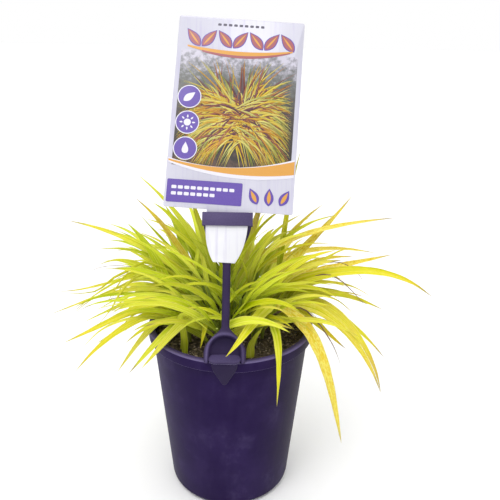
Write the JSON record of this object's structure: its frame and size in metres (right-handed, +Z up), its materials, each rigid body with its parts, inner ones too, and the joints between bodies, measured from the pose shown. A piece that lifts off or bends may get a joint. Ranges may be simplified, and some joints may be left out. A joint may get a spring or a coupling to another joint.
{
  "type": "potted japanese forest grass",
  "caption": "Clump of golden arching grass leaves in a tapered round nursery pot of soil, with a blank-backed printed label card leaning above it in a spade-shaped clip on the rim.",
  "frame": {"origin": "centre of the pot's underside", "axes": "+Z up through the pot's middle; the label's printed face looks towards -Y; +X to the right as seen from the front"},
  "size_m": [0.3287, 0.244, 0.3969],
  "materials": {
    "pot": "moulded dark purple polypropylene with a soft sheen",
    "soil": "damp dark potting mix with bark bits",
    "leaf": "satin leaf blades, lime green turning yellow and orange, finely ribbed",
    "holder": "moulded dark purple polypropylene, slightly greyer than the pot",
    "card": "pale printed plastic card, coloured print on its front only"
  },
  "bodies": {
    "root": {"pot": "pot", "soil": "soil", "stem_01": "leaf", "stem_02": "leaf", "stem_03": "leaf", "stem_04": "leaf", "stem_05": "leaf", "stem_06": "leaf", "stem_07": "leaf", "stem_08": "leaf", "stem_09": "leaf", "stem_10": "leaf", "stem_11": "leaf", "stem_12": "leaf", "stem_13": "leaf", "stem_14": "leaf", "stem_15": "leaf", "stem_16": "leaf", "stem_17": "leaf", "stem_18": "leaf", "stem_19": "leaf", "stem_20": "leaf", "stem_21": "leaf", "stem_22": "leaf", "stem_23": "leaf", "stem_24": "leaf", "stem_25": "leaf", "stem_26": "leaf", "stem_27": "leaf", "stem_28": "leaf", "stem_29": "leaf", "stem_30": "leaf", "stem_31": "leaf", "stem_32": "leaf", "stem_33": "leaf", "stem_34": "leaf", "stem_35": "leaf", "stem_36": "leaf", "stem_37": "leaf", "stem_38": "leaf", "label_holder": "holder", "label_card": "card"}
  },
  "joints": []
}
